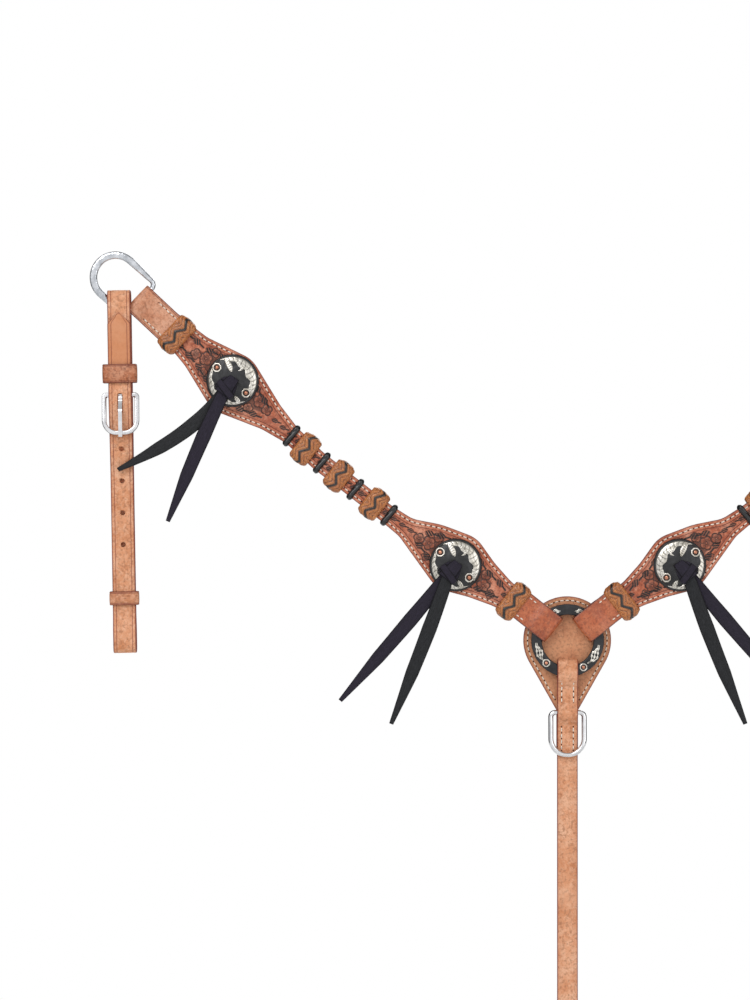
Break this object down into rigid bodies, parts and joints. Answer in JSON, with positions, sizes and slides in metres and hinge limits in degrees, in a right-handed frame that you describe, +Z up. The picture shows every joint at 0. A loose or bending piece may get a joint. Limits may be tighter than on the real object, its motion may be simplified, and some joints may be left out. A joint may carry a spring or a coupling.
{
  "type": "western breast collar",
  "caption": "Tooled leather horse breast collar with braided rawhide knots, conchos with leather strings, buckled tug straps and a centre strap with a snap.",
  "frame": {"origin": "centre of the centre ring's axis on the back face of the yoke, where it lies on the chest", "axes": "+Z up, -Y faces forward away from the chest, +X to the right in a front view"},
  "size_m": [0.7622, 0.0261, 0.9158],
  "materials": {
    "tooled_leather": "carved russet leather with dyed stamping",
    "plain_leather": "oiled russet leather",
    "lining_leather": "smooth russet lining",
    "keeper_leather": "oiled russet leather, darker",
    "rawhide": "braided rawhide, varnished",
    "black_rawhide": "braided, waxed",
    "black_leather": "soft suede edge, matt",
    "antiqued_metal": "blackened with engraved silver",
    "engraved_silver": "engraved, antiqued",
    "polished_steel": "polished stainless",
    "spring_wire": "plain wire"
  },
  "bodies": {
    "yoke": {"yoke_lining": "lining_leather", "yoke_face": "plain_leather", "centre_strap_top": "plain_leather", "centre_strap": "plain_leather", "cinch_keeper": "keeper_leather", "cinch_billet": "plain_leather"},
    "centre_ring": {"centre_ring": "antiqued_metal", "ring_ornaments": "engraved_silver"},
    "tie_down_dee": {"tie_down_dee": "polished_steel"},
    "cinch_buckle": {"cinch_buckle": "polished_steel"},
    "cinch_tongue": {"cinch_tongue": "polished_steel"},
    "cinch_loose_keeper": {"cinch_loose_keeper": "keeper_leather"},
    "snap_eye": {"snap_eye": "polished_steel"},
    "snap_body": {"snap_body": "polished_steel", "snap_spring": "spring_wire"},
    "snap_bolt": {"snap_bolt": "polished_steel"},
    "left_arm": {"left_arm_lining": "lining_leather", "left_arm_face": "tooled_leather", "left_ring_loop": "plain_leather", "left_shoulder_loop": "plain_leather", "left_shoulder_knot": "rawhide", "left_neck_knots": "rawhide", "left_ring_knot": "rawhide", "left_black_wraps": "black_rawhide", "left_outer_concho": "antiqued_metal", "left_inner_concho": "antiqued_metal", "left_outer_string_knot": "black_leather", "left_inner_string_knot": "black_leather"},
    "left_outer_tail_1": {"left_outer_tail_1": "black_leather"},
    "left_outer_tail_2": {"left_outer_tail_2": "black_leather"},
    "left_inner_tail_1": {"left_inner_tail_1": "black_leather"},
    "left_inner_tail_2": {"left_inner_tail_2": "black_leather"},
    "left_shoulder_ring": {"left_shoulder_ring": "polished_steel"},
    "left_tug": {"left_tug_strap": "plain_leather", "left_tug_keeper": "keeper_leather"},
    "left_tug_buckle": {"left_tug_buckle": "polished_steel"},
    "left_tug_tongue": {"left_tug_tongue": "polished_steel"},
    "left_tug_loose_keeper": {"left_tug_loose_keeper": "keeper_leather"},
    "right_arm": {"right_arm_lining": "lining_leather", "right_arm_face": "tooled_leather", "right_ring_loop": "plain_leather", "right_shoulder_loop": "plain_leather", "right_shoulder_knot": "rawhide", "right_neck_knots": "rawhide", "right_ring_knot": "rawhide", "right_black_wraps": "black_rawhide", "right_outer_concho": "antiqued_metal", "right_inner_concho": "antiqued_metal", "right_outer_string_knot": "black_leather", "right_inner_string_knot": "black_leather"},
    "right_outer_tail_1": {"right_outer_tail_1": "black_leather"},
    "right_outer_tail_2": {"right_outer_tail_2": "black_leather"},
    "right_inner_tail_1": {"right_inner_tail_1": "black_leather"},
    "right_inner_tail_2": {"right_inner_tail_2": "black_leather"},
    "right_shoulder_ring": {"right_shoulder_ring": "polished_steel"},
    "right_tug": {"right_tug_strap": "plain_leather", "right_tug_keeper": "keeper_leather"},
    "right_tug_buckle": {"right_tug_buckle": "polished_steel"},
    "right_tug_tongue": {"right_tug_tongue": "polished_steel"},
    "right_tug_loose_keeper": {"right_tug_loose_keeper": "keeper_leather"}
  },
  "joints": [
    {"name": "centre_ring_turn", "type": "hinge", "parent": "yoke", "child": "centre_ring", "pos_m": [0, -0.0094, 0], "axis": [0, 1, 0], "continuous": true},
    {"name": "tie_down_dee_swing", "type": "hinge", "parent": "yoke", "child": "tie_down_dee", "pos_m": [0, -0.0069, -0.0576], "axis": [-1, 0, 0], "range_deg": [0, 150]},
    {"name": "cinch_buckle_tip", "type": "hinge", "parent": "yoke", "child": "cinch_buckle", "pos_m": [0, -0.0051, -0.38], "axis": [-1, 0, 0], "range_deg": [0, 6]},
    {"name": "cinch_tongue_lift", "type": "hinge", "parent": "cinch_buckle", "child": "cinch_tongue", "pos_m": [0, -0.0051, -0.38], "axis": [-1, 0, 0], "range_deg": [0, 10]},
    {"name": "cinch_keeper_slide", "type": "slide", "parent": "yoke", "child": "cinch_loose_keeper", "axis": [0, 0, 1], "range_m": [-0.003, 0.02]},
    {"name": "snap_eye_swing", "type": "hinge", "parent": "yoke", "child": "snap_eye", "pos_m": [0, -0.0058, -0.524], "axis": [1, 0, 0], "range_deg": [-60, 60]},
    {"name": "snap_swivel", "type": "hinge", "parent": "snap_eye", "child": "snap_body", "pos_m": [0, -0.0058, -0.553], "axis": [0, 0, 1], "continuous": true},
    {"name": "snap_bolt_slide", "type": "slide", "parent": "snap_body", "child": "snap_bolt", "axis": [0, 0, 1], "range_m": [0, 0.006], "stiffness_N_per_m": 300, "springref_m": -0.01, "deforming": ["snap_spring"]},
    {"name": "left_arm_swing", "type": "hinge", "parent": "yoke", "child": "left_arm", "pos_m": [0, -0.0096, 0], "axis": [0, 1, 0], "range_deg": [-30, 8]},
    {"name": "left_outer_tail_1_swing", "type": "hinge", "parent": "left_arm", "child": "left_outer_tail_1", "pos_m": [-0.27249, -0.01765, 0.20042], "axis": [0, -1, 0], "range_deg": [-3, 50]},
    {"name": "left_outer_tail_2_swing", "type": "hinge", "parent": "left_arm", "child": "left_outer_tail_2", "pos_m": [-0.27249, -0.01995, 0.20042], "axis": [0, -1, 0], "range_deg": [-25, 25]},
    {"name": "left_inner_tail_1_swing", "type": "hinge", "parent": "left_arm", "child": "left_inner_tail_1", "pos_m": [-0.09489, -0.01765, 0.05354], "axis": [0, -1, 0], "range_deg": [-20, 40]},
    {"name": "left_inner_tail_2_swing", "type": "hinge", "parent": "left_arm", "child": "left_inner_tail_2", "pos_m": [-0.09489, -0.01995, 0.05354], "axis": [0, -1, 0], "range_deg": [-25, 28]},
    {"name": "left_shoulder_ring_tip", "type": "hinge", "parent": "left_arm", "child": "left_shoulder_ring", "pos_m": [-0.34053, -0.0096, 0.27084], "axis": [0.6845, 0, 0.729], "range_deg": [0, 25]},
    {"name": "left_tug_swing", "type": "hinge", "parent": "left_shoulder_ring", "child": "left_tug", "pos_m": [-0.3574, -0.0096, 0.264], "axis": [-1, 0, 0], "range_deg": [-15, 0]},
    {"name": "left_tug_buckle_tip", "type": "hinge", "parent": "left_tug", "child": "left_tug_buckle", "pos_m": [-0.3562, -0.0148, 0.19551], "axis": [-0.9998, 0, -0.0175], "range_deg": [0, 6]},
    {"name": "left_tug_tongue_lift", "type": "hinge", "parent": "left_tug_buckle", "child": "left_tug_tongue", "pos_m": [-0.3562, -0.0148, 0.19551], "axis": [-0.9998, 0, -0.0175], "range_deg": [0, 10]},
    {"name": "left_tug_keeper_slide", "type": "slide", "parent": "left_tug", "child": "left_tug_loose_keeper", "axis": [-0.0175, 0, 0.9998], "range_m": [-0.005, 0.05]},
    {"name": "right_arm_swing", "type": "hinge", "parent": "yoke", "child": "right_arm", "pos_m": [0, -0.0096, 0], "axis": [0, -1, 0], "range_deg": [-30, 8]},
    {"name": "right_outer_tail_1_swing", "type": "hinge", "parent": "right_arm", "child": "right_outer_tail_1", "pos_m": [0.27249, -0.01765, 0.20042], "axis": [0, 1, 0], "range_deg": [-3, 50]},
    {"name": "right_outer_tail_2_swing", "type": "hinge", "parent": "right_arm", "child": "right_outer_tail_2", "pos_m": [0.27249, -0.01995, 0.20042], "axis": [0, 1, 0], "range_deg": [-25, 25]},
    {"name": "right_inner_tail_1_swing", "type": "hinge", "parent": "right_arm", "child": "right_inner_tail_1", "pos_m": [0.09489, -0.01765, 0.05354], "axis": [0, 1, 0], "range_deg": [-20, 40]},
    {"name": "right_inner_tail_2_swing", "type": "hinge", "parent": "right_arm", "child": "right_inner_tail_2", "pos_m": [0.09489, -0.01995, 0.05354], "axis": [0, 1, 0], "range_deg": [-25, 28]},
    {"name": "right_shoulder_ring_tip", "type": "hinge", "parent": "right_arm", "child": "right_shoulder_ring", "pos_m": [0.34053, -0.0096, 0.27084], "axis": [0.6845, 0, -0.729], "range_deg": [0, 25]},
    {"name": "right_tug_swing", "type": "hinge", "parent": "right_shoulder_ring", "child": "right_tug", "pos_m": [0.3574, -0.0096, 0.264], "axis": [-1, 0, 0], "range_deg": [-15, 0]},
    {"name": "right_tug_buckle_tip", "type": "hinge", "parent": "right_tug", "child": "right_tug_buckle", "pos_m": [0.3562, -0.0148, 0.19551], "axis": [-0.9998, 0, 0.0175], "range_deg": [0, 6]},
    {"name": "right_tug_tongue_lift", "type": "hinge", "parent": "right_tug_buckle", "child": "right_tug_tongue", "pos_m": [0.3562, -0.0148, 0.19551], "axis": [-0.9998, 0, 0.0175], "range_deg": [0, 10]},
    {"name": "right_tug_keeper_slide", "type": "slide", "parent": "right_tug", "child": "right_tug_loose_keeper", "axis": [0.0175, 0, 0.9998], "range_m": [-0.005, 0.05]}
  ]
}
